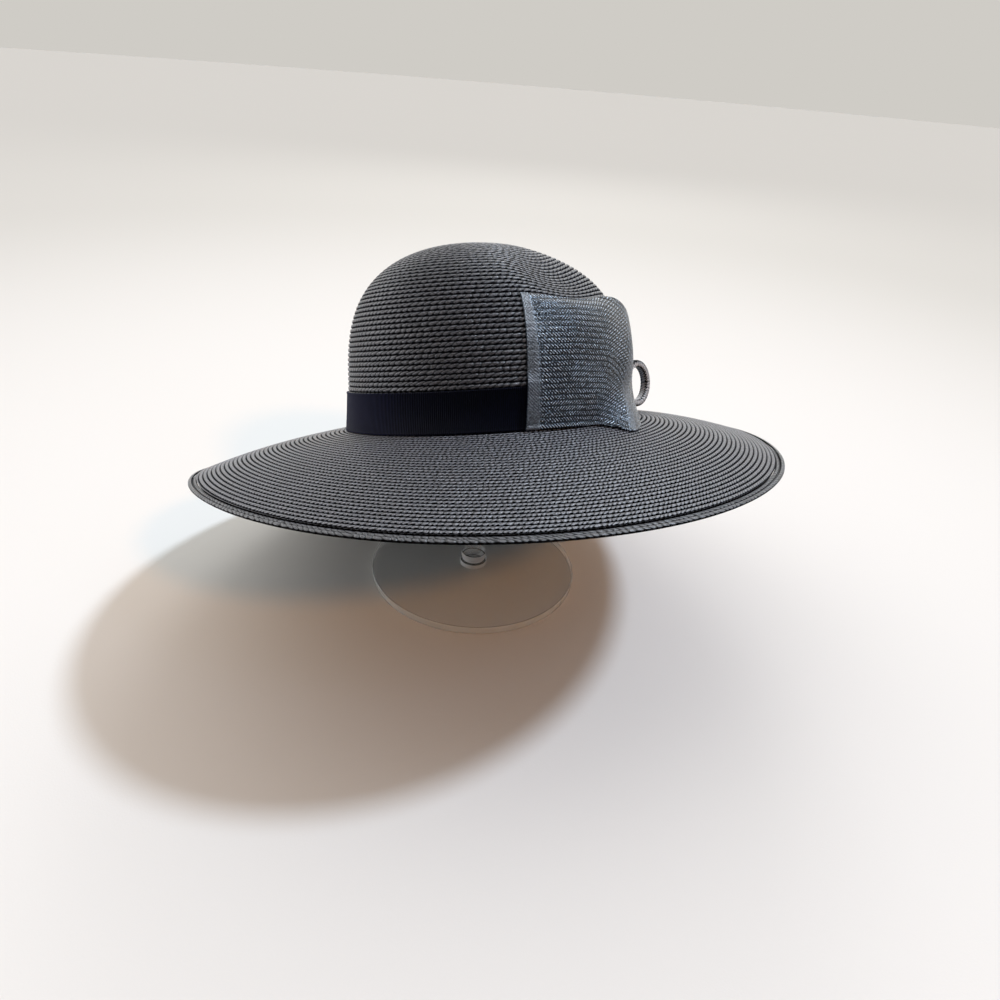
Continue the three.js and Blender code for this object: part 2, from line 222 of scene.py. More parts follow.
def swept_skin(place, outline, columns, along, across):
    """Points, faces and corner pairs of a closed outline carried once round.

    place(turn, out, up) gives points. The outline lists pairs of out and up, anticlockwise."""
    out, up = np.array(outline, float).T
    turn = 2 * math.pi * np.arange(columns) / columns
    points = place(turn, out[:, None], up[:, None])
    sides = len(outline)
    side, column = np.meshgrid(np.arange(sides), np.arange(columns), indexing="ij")
    next_side, next_column = (side + 1) % sides, (column + 1) % columns
    faces = np.stack([
        side * columns + column, side * columns + next_column,
        next_side * columns + next_column, next_side * columns + column,
    ], axis=-1).reshape(-1, 4)
    steps = np.hypot(np.roll(out, -1) - out, np.roll(up, -1) - up)
    share = np.append(0, np.cumsum(steps)) / steps.sum()
    left, left_next = along * column / columns, along * (column + 1) / columns
    low, high = across * share[side], across * share[side + 1]
    pairs = np.stack([left, low, left_next, low, left_next, high, left, high], axis=-1)
    return points.reshape(-1, 3), faces, pairs.reshape(-1, 4, 2)


def joined(*skins):
    """Several skins as one."""
    starts = np.cumsum([0] + [len(points) for points, _, _ in skins])
    faces = [faces + start for (_, faces, _), start in zip(skins, starts)]
    return np.vstack([s[0] for s in skins]), np.vstack(faces), np.vstack([s[2] for s in skins])


print("two kinds of skin")

# %% [markdown]
# ## From a skin to a piece
# A piece is a mesh that rides on the stand's body, stands for the plain CAD solid in the same place, and
# takes one material. Points that fall together, at the tip of the crown and at the middle of a turned
# plate, are merged, so that no face has no area.

# %% Making a piece
PAIRS = "rows"
MERGE = 0.000001


def make_piece(name, node, skin, material, sharp_over=180):
    """One shown piece for a CAD node, from a skin in metres.

    Edges that turn by more than sharp_over, in degrees, stay crisp."""
    points, faces, pairs = skin
    mesh = bpy.data.meshes.new(name)
    mesh.from_pydata(points.tolist(), [], faces.tolist())
    mesh.uv_layers.new(name=PAIRS).data.foreach_set("uv", pairs.astype(np.float32).ravel())
    shape = bmesh.new()
    shape.from_mesh(mesh)
    bmesh.ops.remove_doubles(shape, verts=shape.verts, dist=MERGE)
    shape.to_mesh(mesh)
    shape.free()
    mesh.shade_smooth()
    if sharp_over < 180:
        mesh.set_sharp_from_angle(angle=math.radians(sharp_over))
    mesh.materials.append(material)
    piece = bpy.data.objects.new(name, mesh)
    bpy.context.scene.collection.objects.link(piece)
    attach(piece, "root")
    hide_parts(node)
    print(f"{name}: {sum(len(f.vertices) - 2 for f in mesh.polygons)} triangles")
    return piece


# %% [markdown]
# ## Nodes and colours
# Every finish below is drawn by nodes. One function adds a node, sets it and links its inputs. Another
# turns an sRGB hex value, as a colour picker gives it, into the linear colour that the shader works in.

# %% Helpers for materials
def add(tree, kind, inputs=None, **settings):
    """A new node. An input is linked if it is given another node's output, and set if it isn't."""
    made = tree.nodes.new(kind)
    for setting, value in settings.items():
        setattr(made, setting, value)
    for socket, value in (inputs or {}).items():
        if isinstance(value, bpy.types.NodeSocket):
            tree.links.new(value, made.inputs[socket])
        else:
            made.inputs[socket].default_value = value
    return made


def colour(hex_value):
    """A linear colour from an sRGB hex value."""
    shares = [int(hex_value[i : i + 2], 16) / 255 for i in (1, 3, 5)]
    return (*[s / 12.92 if s <= 0.04045 else ((s + 0.055) / 1.055) ** 2.4 for s in shares], 1.0)


def new_tree(name):
    """A material with an empty node tree."""
    material = bpy.data.materials.new(name)
    material.use_nodes = True
    material.node_tree.nodes.clear()
    return material, material.node_tree


def corner_pairs(tree):
    """A piece's pairs of numbers, whole and as the place along the row and the place across."""
    place = add(tree, "ShaderNodeUVMap", uv_map=PAIRS).outputs["UV"]
    split = add(tree, "ShaderNodeSeparateXYZ", {"Vector": place})
    return place, split.outputs["X"], split.outputs["Y"]


print("black straw is", [round(c, 4) for c in colour("#1b1c22")[:3]], "in linear colour")

# %% [markdown]
# ## Sewn straw braid
# The straw is a flat polypropylene plait, a few millimetres wide, dyed black. Each row overlaps the one
# before it and a lockstitch holds it down. The eye gets three things from that: a dark step between rows, a
# chain of slanted tufts where the plait's ends cross, and a dash where each tuft bridges the step. The
# plastic itself is smooth, so the tufts glint and the whole hat takes a grey sheen from well-lit
# surroundings. The steps are in the mesh, and the tufts, dashes and fine ends are drawn by nodes. The shade
# in the steps and where tufts cross is painted in as painted shade, and the tufts' sheen as a painted
# lighter tone. The tufts come first: they are counted along the row, slanted, and strained a little by
# noise.

# %% The plait's tufts
TUFT_SLANT = 0.9
TUFT_STRAIN = 1.3


def slanted_tufts(tree, place, along, across):
    """The way to the nearest place where two tufts cross, how much tuft shows, and the painted shade where
    they cross.
    """
    # No two rows start their tufts at the same place.
    row = add(tree, "ShaderNodeMath", {0: across}, operation="FLOOR").outputs[0]
    row_start = add(tree, "ShaderNodeTexWhiteNoise", {"W": row}, noise_dimensions="1D").outputs["Value"]
    slanted = add(tree, "ShaderNodeMath", {
        0: across, 1: TUFT_SLANT, 2: along,
    }, operation="MULTIPLY_ADD").outputs[0]
    even = add(tree, "ShaderNodeMath", {0: slanted, 1: row_start}, operation="ADD").outputs[0]
    strain_place = add(tree, "ShaderNodeVectorMath", {
        0: place, 1: (0.35, 1.0, 1.0),
    }, operation="MULTIPLY").outputs[0]
    strain = add(tree, "ShaderNodeTexNoise", {
        "Vector": strain_place, "Scale": 1.0, "Detail": 1.0,
    }, noise_dimensions="2D").outputs[0]
    phase = add(tree, "ShaderNodeMath", {
        0: strain, 1: TUFT_STRAIN, 2: even,
    }, operation="MULTIPLY_ADD").outputs[0]
    to_crossing = add(tree, "ShaderNodeMath", {0: phase, 1: 0.5}, operation="PINGPONG").outputs[0]
    tuft = add(tree, "ShaderNodeMapRange", {
        "Value": to_crossing, "From Min": 0.02, "From Max": 0.34,
    }, interpolation_type="SMOOTHSTEP").outputs[0]
    crossing_shade = add(tree, "ShaderNodeMapRange", {
        "Value": to_crossing, "From Min": 0.02, "From Max": 0.12, "To Min": 0.5, "To Max": 0.0,
    }).outputs[0]
    return to_crossing, tuft, crossing_shade


print(f"the tufts slant by {TUFT_SLANT} of their length from one row to the next")

# %% [markdown]
# ## The steps between rows
# Each row overlaps the one before it, and in the step at its edge hardly any light comes back, so the step
# is painted dark as painted shade. The painted shade is wide where tufts cross, and narrow or bridged
# beside a tuft. Two things change it: round the tip of the crown the rows are steamed flat, so the painted
# shade in their steps is weaker, and on a ring the last row is painted black, as painted shade on the
# ring's unlit outer edge.

# %% The steps between rows
STEP_UNDER_TUFT = 0.11
TIP_STEP_SHADE = 0.4
RING_ROWS = 4
# Painted shade over the ring's last row, for its unlit outer edge.
RING_SHADE_MIDDLE, RING_SHADE_DARKNESS = RING_ROWS - 0.5, 0.96


def shaded_steps(tree, across, to_crossing, tuft, bridged):
    """How much painted shade the open step to the next row gets, from 0 to 1."""
    to_step = add(tree, "ShaderNodeMath", {0: across, 1: 0.5}, operation="PINGPONG").outputs[0]
    narrowed = add(tree, "ShaderNodeMath", {
        0: tuft, 1: STEP_UNDER_TUFT, 2: to_step,
    }, operation="MULTIPLY_ADD").outputs[0]
    step_shade = add(tree, "ShaderNodeMapRange", {
        "Value": narrowed, "From Min": 0.18, "From Max": 0.32, "To Min": 1.0, "To Max": 0.0,
    }, interpolation_type="SMOOTHSTEP").outputs[0]
    bridge = add(tree, "ShaderNodeMapRange", {
        "Value": to_crossing, "From Min": 0.3, "From Max": 0.42, "To Min": 1.0, "To Max": 1 - bridged,
    }, interpolation_type="SMOOTHSTEP").outputs[0]
    return add(tree, "ShaderNodeMath", {0: step_shade, 1: bridge}, operation="MULTIPLY").outputs[0]


def step_shade_strength(tree, across, flat_rows):
    """How strong the painted shade in the steps is, counted in rows from the tip of the crown."""
    return add(tree, "ShaderNodeMapRange", {
        "Value": across, "From Min": flat_rows / 2, "From Max": flat_rows * 1.5,
        "To Min": TIP_STEP_SHADE, "To Max": 1.0,
    }, interpolation_type="SMOOTHSTEP").outputs[0]


def ring_edge_shade(tree, across):
    """How dark the painted shade over the last row of a ring is, for its unlit outer edge."""
    from_middle = add(tree, "ShaderNodeMath", {
        0: across, 1: RING_SHADE_MIDDLE,
    }, operation="SUBTRACT").outputs[0]
    off_ring_shade = add(tree, "ShaderNodeMath", {
        0: from_middle, 1: RING_ROWS / 2,
    }, operation="PINGPONG").outputs[0]
    return add(tree, "ShaderNodeMapRange", {
        "Value": off_ring_shade, "From Min": 0.55, "From Max": 0.95,
        "To Min": RING_SHADE_DARKNESS, "To Max": 0.0,
    }).outputs[0]


print(f"a tuft covers {STEP_UNDER_TUFT} of a row's width in the step beside it")

# %% [markdown]
# ## The straw's colour, its painted sheen and shade, and its gloss
# The tufts get a lighter tone as painted sheen, broken up by fine uneven ends, and the straw between them
# keeps its own dark black. Dyed polypropylene has an IOR of about 1.5 and a smooth, slightly scratched
# skin, so its roughness is about 0.3. The painted shade in a step is made a black metal, because a black
# metal has no gloss of its own.

# %% The sewn braid's material
STRAW_IOR, STRAW_GLOSS = 1.53, 0.3
ENDS_DEPTH = 0.2


def sewn_braid(name, straw, painted_sheen, step, shine, tuft_depth, bridged, flat_rows=0, shaded_edge=False):
    """Black straw braid, from its dark straw, a lighter tone painted as sheen on its tufts, and the colour
    of the painted shade in its steps.

    shine is its share of mirrored light, and tuft_depth is in millimetres. bridged is how much each
    tuft closes the step beside it, from 0 to 1. flat_rows is how many rows round the tip lie flatter.
    A ring's braid gets painted shade over its last row, for the ring's unlit outer edge."""
    material, tree = new_tree(name)
    place, along, across = corner_pairs(tree)
    to_crossing, tuft, crossing_shade = slanted_tufts(tree, place, along, across)
    open_step_shade = shaded_steps(tree, across, to_crossing, tuft, bridged)
    # The dark here is painted shade, in the steps between rows and where tufts cross.
    slit_shade = add(tree, "ShaderNodeMath", {0: open_step_shade, 1: crossing_shade}, operation="MAXIMUM").outputs[0]
    if flat_rows:
        shade_strength = step_shade_strength(tree, across, flat_rows)
        slit_shade = add(tree, "ShaderNodeMath", {0: slit_shade, 1: shade_strength}, operation="MULTIPLY").outputs[0]
    # On a ring, the last row gets painted shade for its unlit outer edge.
    if shaded_edge:
        shaded_last_row = ring_edge_shade(tree, across)
        slit_shade = add(tree, "ShaderNodeMath", {0: slit_shade, 1: shaded_last_row}, operation="MAXIMUM").outputs[0]

    # Fine uneven ends of straw.
    ends_place = add(tree, "ShaderNodeVectorMath", {
        0: place, 1: (3.1, 5.0, 1.0),
    }, operation="MULTIPLY").outputs[0]
    ends = add(tree, "ShaderNodeTexNoise", {
        "Vector": ends_place, "Scale": 1.0, "Detail": 3.0, "Roughness": 0.7,
    }, noise_dimensions="2D").outputs[0]
    tone = add(tree, "ShaderNodeMapRange", {
        "Value": ends, "From Min": 0.38, "From Max": 0.66,
    }).outputs[0]
    # How much of the painted sheen shows on the tufts.
    shown = add(tree, "ShaderNodeMath", {0: tone, 1: tuft}, operation="MULTIPLY").outputs[0]

    face = add(tree, "ShaderNodeMix", {
        0: shown, 6: colour(straw), 7: colour(painted_sheen),
    }, data_type="RGBA").outputs[2]
    # The painted shade goes over the straw's face in the steps.
    face_and_painted_shade = add(tree, "ShaderNodeMix", {
        0: slit_shade, 6: face, 7: colour(step),
    }, data_type="RGBA").outputs[2]

    tufted = add(tree, "ShaderNodeBump", {"Height": tuft, "Distance": tuft_depth * MM, "Strength": 1.0})
    frayed = add(tree, "ShaderNodeBump", {
        "Height": ends, "Distance": ENDS_DEPTH * MM, "Strength": 1.0, "Normal": tufted.outputs[0],
    })
    gloss = add(tree, "ShaderNodeMapRange", {
        "Value": slit_shade, "To Min": STRAW_GLOSS, "To Max": 1.0,
    }).outputs[0]
    shader = add(tree, "ShaderNodeBsdfPrincipled", {
        "Base Color": face_and_painted_shade, "Metallic": slit_shade, "Roughness": gloss,
        "Normal": frayed.outputs[0], "IOR": STRAW_IOR, "Specular IOR Level": shine,
    })
    add(tree, "ShaderNodeOutputMaterial", {"Surface": shader.outputs[0]})
    return material


# For each braid, the lighter tone is painted sheen on the tufts, and the step tone is painted shade in the
# steps.
crown_braid = sewn_braid(
    "sewn_crown_braid", straw="#191a21", painted_sheen="#666974", step="#19191d",
    shine=0.6, tuft_depth=0.3, bridged=0.2, flat_rows=16,
)
brim_braid = sewn_braid(
    "sewn_brim_braid", straw="#1b1c22", painted_sheen="#868894", step="#0b0b0d",
    shine=1.0, tuft_depth=0.25, bridged=0.12,
)
rim_braid = sewn_braid(
    "doubled_rim_braid", straw="#18191e", painted_sheen="#5c5e66", step="#020203",
    shine=0.8, tuft_depth=0.4, bridged=0.1,
)
print("materials:", crown_braid.name, brim_braid.name, rim_braid.name)

# %% [markdown]
# ## The crown
# From the tip to the head line there are more than fifty rows of 3.15 mm, so the rows are laid out by
# distance over the surface and not by height: a table turns a distance from the tip into a height. A
# row's section is a low round back with a narrow step at its edge, nearly a millimetre deep. The
# inside shows the same rows with their flat side.

# %% Rows of the crown
CROWN_ROW = 3.15
CROWN_TUFT = 4.4
ROW_BACK = [(0.0, -0.8), (0.12, -0.55), (0.26, 0.1), (0.5, 0.25), (0.84, 0.12)]
ROW_FLAT = [(0.0, -0.25), (0.35, 0.1)]
CROWN_COLUMNS = 208

profile_turns = np.linspace(0, 2 * math.pi, 36, endpoint=False)
rise = np.sin(np.linspace(math.pi / 2, 0, 400)) ** (2 / DOME_RISE_POWER)
dome_heights = CROWN_WALL_HEIGHT + (CROWN_HEIGHT - CROWN_WALL_HEIGHT) * rise
profile_heights = np.append(dome_heights, np.linspace(CROWN_WALL_HEIGHT, 0, 30)[1:])
profile = crown_point(profile_turns, profile_heights[:, None])
profile_steps = np.linalg.norm(np.diff(profile, axis=0), axis=-1).mean(axis=1)
profile_runs = np.append(0, np.cumsum(profile_steps))
CROWN_ROWS = round(profile_runs[-1] / CROWN_ROW)
crown_row = profile_runs[-1] / CROWN_ROWS


def crown_height(run):
    """Height above the head line, at a number of rows from the tip."""
    return np.interp(run * crown_row, profile_runs, profile_heights)


def crown_tufts():
    """How many tufts of plait each row of the crown holds."""
    rings = crown_point(profile_turns[:, None], crown_height(np.arange(CROWN_ROWS) + 0.5))
    lengths = np.linalg.norm(rings - np.roll(rings, 1, axis=0), axis=-1).sum(axis=0)
    return np.maximum(np.round(lengths / CROWN_TUFT), 3)


def crown_outside(turn, run, lift):
    return on_stand(off_crown(turn, crown_height(run), lift))


def crown_inside(turn, run, lift):
    return on_stand(off_crown(turn, crown_height(run), -STRAW_WALL - lift))


def turned_over(skin):
    """The same skin, facing the other way."""
    points, faces, pairs = skin
    return points, faces[:, ::-1], pairs[:, ::-1]


def edge_between(first, second, columns):
    """Faces from the last ring of one skin to the last ring of another."""
    points = np.vstack([first[0][-columns:], second[0][-columns:]])
    column = np.arange(columns)
    beside = (column + 1) % columns
    faces = np.stack([column, column + columns, beside + columns, beside], axis=-1)
    return points, faces, np.zeros((columns, 4, 2))


crown_shell = spiral_skin(crown_outside, CROWN_ROWS, ROW_BACK, CROWN_COLUMNS, crown_tufts())
crown_lining = spiral_skin(crown_inside, CROWN_ROWS, ROW_FLAT, CROWN_COLUMNS, crown_tufts())
crown_edge = edge_between(crown_shell, crown_lining, CROWN_COLUMNS)
crown_skin = joined(crown_shell, turned_over(crown_lining), crown_edge)
make_piece("crown_sewn", "crown", crown_skin, crown_braid)
print(f"{CROWN_ROWS} rows of {crown_row:.2f} mm")

# %% [markdown]
# ## The brim
# Thirty-five rows go from the head line to the doubled rim, and they get a little narrower on the way,
# as the sewer pulls the braid tighter. The same section is used, and the underside shows the rows' flat
# side again.

# %% Rows of the brim
BRIM_COLUMNS = 280
BRIM_ROWS = 35
BRIM_TUFT = 2.9
BRIM_NARROWING = 0.08
RIM_WIDTH = 5.0
BRIM_START = -STRAW_WALL / BRIM_WIDTH
BRIM_END = 1 - (RIM_WIDTH + GAP) / BRIM_WIDTH


def brim_share(run):
    """Share of the brim's width, at a number of rows from its start."""
    even = run / BRIM_ROWS
    return BRIM_START + (BRIM_END - BRIM_START) * even * (1 + BRIM_NARROWING * (1 - even))


def brim_above(turn, run, lift):
    return on_stand(off_brim(turn, brim_share(run), lift))


def brim_below(turn, run, lift):
    return on_stand(off_brim(turn, brim_share(run), -STRAW_WALL - lift))


brim_radii = (HEAD_HALF_WIDTH + HEAD_HALF_DEPTH) / 2 + BRIM_WIDTH * brim_share(np.arange(BRIM_ROWS) + 0.5)
brim_tufts = np.round(2 * math.pi * brim_radii / BRIM_TUFT)
brim_upper = spiral_skin(brim_above, BRIM_ROWS, ROW_BACK, BRIM_COLUMNS, brim_tufts)
brim_lower = spiral_skin(brim_below, BRIM_ROWS, ROW_FLAT, BRIM_COLUMNS, brim_tufts)
brim_edge = edge_between(brim_upper, brim_lower, BRIM_COLUMNS)
brim_skin = joined(brim_upper, turned_over(brim_lower), brim_edge)
make_piece("brim_sewn", "brim", brim_skin, brim_braid)
brim_ends = [BRIM_WIDTH * (brim_share(n + 1) - brim_share(n)) for n in (0, BRIM_ROWS - 1)]
print(f"{BRIM_ROWS} rows, {brim_ends[0]:.2f} mm wide at the head line and {brim_ends[1]:.2f} mm at the rim")

# %% [markdown]
# ## The rim
# The outermost row is doubled: a narrow row lies on a wider one, over a fine wire. A deep, dark step
# parts it from the last plain row of the brim, so the rim reads as one light cord with a line inside it.

# %% The doubled rim
RIM_SIDES = 12
RIM_COLUMNS = 320
RIM_TUFT = 3.9
RIM_ROLLS = [
    {"inwards": 3.9, "up": -0.9, "half_width": 1.1, "half_height": 0.55},
    {"inwards": 1.2, "up": -0.25, "half_width": 1.2, "half_height": 0.8},
    {"inwards": 2.9, "up": -1.75, "half_width": 2.1, "half_height": 0.7},
]


def around_rim(turn, out, up):
    return on_stand(off_brim(turn, 1 + out / BRIM_WIDTH, up))


def rim_outline(roll):
    """A roll's section, as distances out from the rim's edge and up from the brim's upper face."""
    angles = [2 * math.pi * side / RIM_SIDES for side in range(RIM_SIDES)]
    return [
        (roll["half_width"] * math.cos(a) - roll["inwards"], roll["half_height"] * math.sin(a) + roll["up"])
        for a in angles
    ]


rim_tufts = round(2 * math.pi * (HEAD_HALF_WIDTH + BRIM_WIDTH) / RIM_TUFT)
rim_skins = [swept_skin(around_rim, rim_outline(roll), RIM_COLUMNS, rim_tufts, 2) for roll in RIM_ROLLS]
make_piece("rim_doubled", "rim_edge", joined(*rim_skins), rim_braid)
print(f"{len(RIM_ROLLS)} rolls of {rim_tufts} tufts")

# %% [markdown]
# ## The ribbon
# Grosgrain is woven with thick weft threads, so it has fine ribs across its width, about one to a
# millimetre, and a firm edge along both sides. It is matt, near black, and its fibres give it a trace
# of navy at a slant. The band is one closed outline carried round the crown. The ribs are drawn by the
# material, a fifth wider than that, so that they show.

# %% The grosgrain ribbon
RIBBON_WIDTH, RIBBON_THICKNESS = 25.4, 1.0
RIB = 1.2
RIBBON_COLUMNS = 240
RIBBON_SHARP_OVER = 50


def grosgrain(name, dark, light, rib_depth):
    """Ribbed ribbon. Its pairs count millimetres, and rib_depth is in millimetres too."""
    material, tree = new_tree(name)
    place, along, _ = corner_pairs(tree)
    ribs = add(tree, "ShaderNodeMath", {0: along, 1: 1 / RIB}, operation="MULTIPLY").outputs[0]
    to_gap = add(tree, "ShaderNodeMath", {0: ribs, 1: 0.5}, operation="PINGPONG").outputs[0]
    rib = add(tree, "ShaderNodeMapRange", {
        "Value": to_gap, "From Min": 0.0, "From Max": 0.5,
    }, interpolation_type="SMOOTHSTEP").outputs[0]
    slub_place = add(tree, "ShaderNodeVectorMath", {
        0: place, 1: (0.8, 0.15, 1.0),
    }, operation="MULTIPLY").outputs[0]
    slubs = add(tree, "ShaderNodeTexNoise", {
        "Vector": slub_place, "Scale": 1.0, "Detail": 4.0,
    }, noise_dimensions="2D").outputs[0]
    threads = add(tree, "ShaderNodeMath", {0: rib, 1: slubs}, operation="MULTIPLY").outputs[0]
    tone = add(tree, "ShaderNodeMix", {
        0: threads, 6: colour(dark), 7: colour(light),
    }, data_type="RGBA").outputs[2]
    ribbed = add(tree, "ShaderNodeBump", {"Height": rib, "Distance": rib_depth * MM, "Strength": 1.0})
    shader = add(tree, "ShaderNodeBsdfPrincipled", {
        "Base Color": tone, "Roughness": 0.55, "Normal": ribbed.outputs[0], "IOR": 1.45,
        "Specular IOR Level": 0.06, "Sheen Weight": 0.35, "Sheen Tint": colour("#2634b4"),
        "Sheen Roughness": 0.35,
    })
    add(tree, "ShaderNodeOutputMaterial", {"Surface": shader.outputs[0]})
    return material


def around_crown(turn, off, height):
    return on_stand(off_crown(turn, height, off))


ribbon_low, ribbon_high, outside = GAP, GAP + RIBBON_WIDTH, GAP + RIBBON_THICKNESS
ribbon_outline = [
    (GAP, ribbon_low), (outside - 0.1, ribbon_low), (outside + 0.1, ribbon_low + 0.3),
    (outside + 0.1, ribbon_low + 0.9), (outside - 0.15, ribbon_low + 1.3),
    (outside - 0.1, (ribbon_low + ribbon_high) / 2), (outside - 0.15, ribbon_high - 1.3),
    (outside + 0.1, ribbon_high - 0.9), (outside + 0.1, ribbon_high - 0.3),
    (outside - 0.1, ribbon_high), (GAP, ribbon_high),
]
ribbon_round = 2 * math.pi * (HEAD_HALF_WIDTH + HEAD_HALF_DEPTH) / 2
whole_ribs = round(ribbon_round / RIB) * RIB
ribbon_skin = swept_skin(around_crown, ribbon_outline, RIBBON_COLUMNS, whole_ribs, 2 * RIBBON_WIDTH)
woven_grosgrain = grosgrain("grosgrain_ribbon", dark="#010208", light="#0a0d22", rib_depth=0.3)
ribbon = make_piece(
    "ribbon_woven", "ribbon_band", ribbon_skin, woven_grosgrain, RIBBON_SHARP_OVER
)
print(f"ribbon {ribbon_round:.0f} mm round")

# %% [markdown]
# ## The side panel's shape
# The panel is a strip of fine braid cloth. A short table says where it runs: at twelve places along it,
# the turn and the stand-off from the crown at its foot, middle and top, the height of its top edge, and
# how deeply the pleat is pinched towards the crown where the ring is sewn on. Between places it follows
# a centripetal Catmull-Rom curve, which passes through every place and doesn't overshoot where they
# stand close, as they do at the pleat.

# %% Places along the panel
PANEL_THICKNESS = 1.2
PANEL_BRIM_CLEARANCE = 1.35
PINCH_SHARE, PINCH_SPREAD = 0.33, 0.17
PANEL_PLACES = [
    {"at": "front hem", "turns": (-75.4, -74.9, -73.3), "offs": (2.6, 2.6, 1.7), "top": 79.8, "pinch": 0},
    {"at": "front", "turns": (-64, -62, -59), "offs": (3.6, 2.7, 1.7), "top": 78.4, "pinch": 0},
    {"at": "front quarter", "turns": (-54, -50, -45), "offs": (5, 2.8, 1.7), "top": 77.6, "pinch": 0},
    {"at": "pleat root", "turns": (-46.5, -39.5, -31), "offs": (6.6, 3.6, 2), "top": 77.2, "pinch": 0},
    {"at": "pleat face", "turns": (-43, -33, -20), "offs": (13, 5, 3.8), "top": 75.6, "pinch": 2},
    {"at": "near fold", "turns": (-41, -27, -12.5), "offs": (20.5, 7.4, 6.4), "top": 71.5, "pinch": 4.4},
    {"at": "fold", "turns": (-39, -23.5, -8.5), "offs": (23.4, 8.6, 7.6), "top": 66.5, "pinch": 5.4},
    {"at": "behind the fold", "turns": (-33, -19, -5), "offs": (20.5, 8, 7.2), "top": 61.5, "pinch": 4.2},
    {"at": "pleat back", "turns": (-19, -9, 0), "offs": (10, 5, 5), "top": 57.5, "pinch": 0.8},
    {"at": "side", "turns": (-3, 2, 6), "offs": (3.2, 2.7, 2.7), "top": 56, "pinch": 0},
    {"at": "back quarter", "turns": (13, 14, 15), "offs": (2.6, 2.6, 2.6), "top": 55, "pinch": 0},
    {"at": "back hem", "turns": (27, 27, 27), "offs": (2.6, 2.6, 2.6), "top": 55, "pinch": 0},
]


def through_levels(levels, share):
    """The value at a share of the way through three levels, on the parabola through them."""
    low, middle, high = levels
    bend = 4 * middle * share * (1 - share)
    return low * (1 - share) * (1 - 2 * share) + bend + high * share * (2 * share - 1)


def panel_places(share):
    """The table's places at one share of the panel's height, in hat millimetres."""
    found = []
    pinched = math.exp(-(((share - PINCH_SHARE) / PINCH_SPREAD) ** 2))
    for place in PANEL_PLACES:
        low_turn, low_off = math.radians(place["turns"][0]), place["offs"][0]
        foot = brim_point(low_turn, low_off / BRIM_WIDTH)[2] + PANEL_BRIM_CLEARANCE
        turn = math.radians(through_levels(place["turns"], share))
        height = foot + (place["top"] - foot) * share
        off = through_levels(place["offs"], share) - place["pinch"] * pinched
        found.append(off_crown(turn, height, off))
    return np.array(found)


def smooth_curve(places, steps):
    """A centripetal Catmull-Rom curve through the places, with that many steps between two of them."""
    ends = [2 * places[0] - places[1], *places, 2 * places[-1] - places[-2]]
    curve = []
    for before, start, end, after in zip(ends, ends[1:], ends[2:], ends[3:]):
        pairs = ((before, start), (start, end), (end, after))
        first, middle, last = (max(np.linalg.norm(b - a), 1e-4) ** 0.5 for a, b in pairs)
        slope = (end - start) / middle
        leave = ((start - before) / first - (end - before) / (first + middle) + slope) * middle
        arrive = (slope - (after - start) / (middle + last) + (after - end) / last) * middle
        for t in np.arange(steps) / steps:
            curve.append(
                start + leave * t + (3 * (end - start) - 2 * leave - arrive) * t**2
                + (2 * (start - end) + leave + arrive) * t**3
            )
    return np.array([*curve, places[-1]])


PANEL_LINES = 120
PANEL_STEPS = 20
shares = np.linspace(0, 1, PANEL_LINES + 1)
panel_middle = np.array([smooth_curve(panel_places(share), PANEL_STEPS) for share in shares])
print("panel surface", panel_middle.shape)

# %% [markdown]
# ## The panel's rows and weave
# The panel's own rows run level along the crown's side, and droop towards the fold, because the cloth
# was pulled down round the corner there. So each point of the panel gets a pair of numbers: how far
# along the strip it is, and which row it is in, once the droop is added to its height. Rows stand up a
# little from the surface where those numbers say so. The front edge is turned under as a flat hem, and
# the foot has a thin rolled one. Along its front and its top the cloth is stitched down flush with the
# crown.

# %% Rows of the panel
PANEL_ROW = 3.3
DROOP = (8.0, 14.0, 9.0)
DROOP_STEPS = (
    (1.5, 0.0), (3.0, 0.14), (4.2, 0.38), (5.2, 0.72), (6.0, 1.0), (6.8, 0.7), (8.0, 0.25), (9.5, 0.0),
)
PANEL_ROW_RISE, PANEL_STEP_DEPTH = 0.36, 0.25
FRONT_HEM, FRONT_HEM_TAPER = 9.5, 0.055
FOOT_HEM, FOOT_BEAD_RISE = 2.2, 0.4
FLUSH_DEPTH, FLUSH_FRONT, FLUSH_TOP = 1.2, 12.0, 7.0

steps_along = np.linalg.norm(np.diff(panel_middle, axis=1), axis=-1)
along_strip = np.append(0, np.cumsum(steps_along[PANEL_LINES // 2]))
place_number = np.arange(panel_middle.shape[1]) / PANEL_STEPS
droop_share = np.interp(place_number, *zip(*DROOP_STEPS))
up_lines = np.linalg.norm(np.diff(panel_middle, axis=0), axis=-1)
up_panel = np.vstack([np.zeros(up_lines.shape[1]), np.cumsum(up_lines, axis=0)])
risen = panel_middle[..., 2] - panel_middle[0, :, 2]
row_number = (risen + through_levels(DROOP, shares)[:, None] * droop_share) / PANEL_ROW


def smooth_step(value, low, high):
    """From 0 at low to 1 at high, easing in and out."""
    t = np.clip((value - low) / (high - low), 0, 1)
    return t * t * (3 - 2 * t)


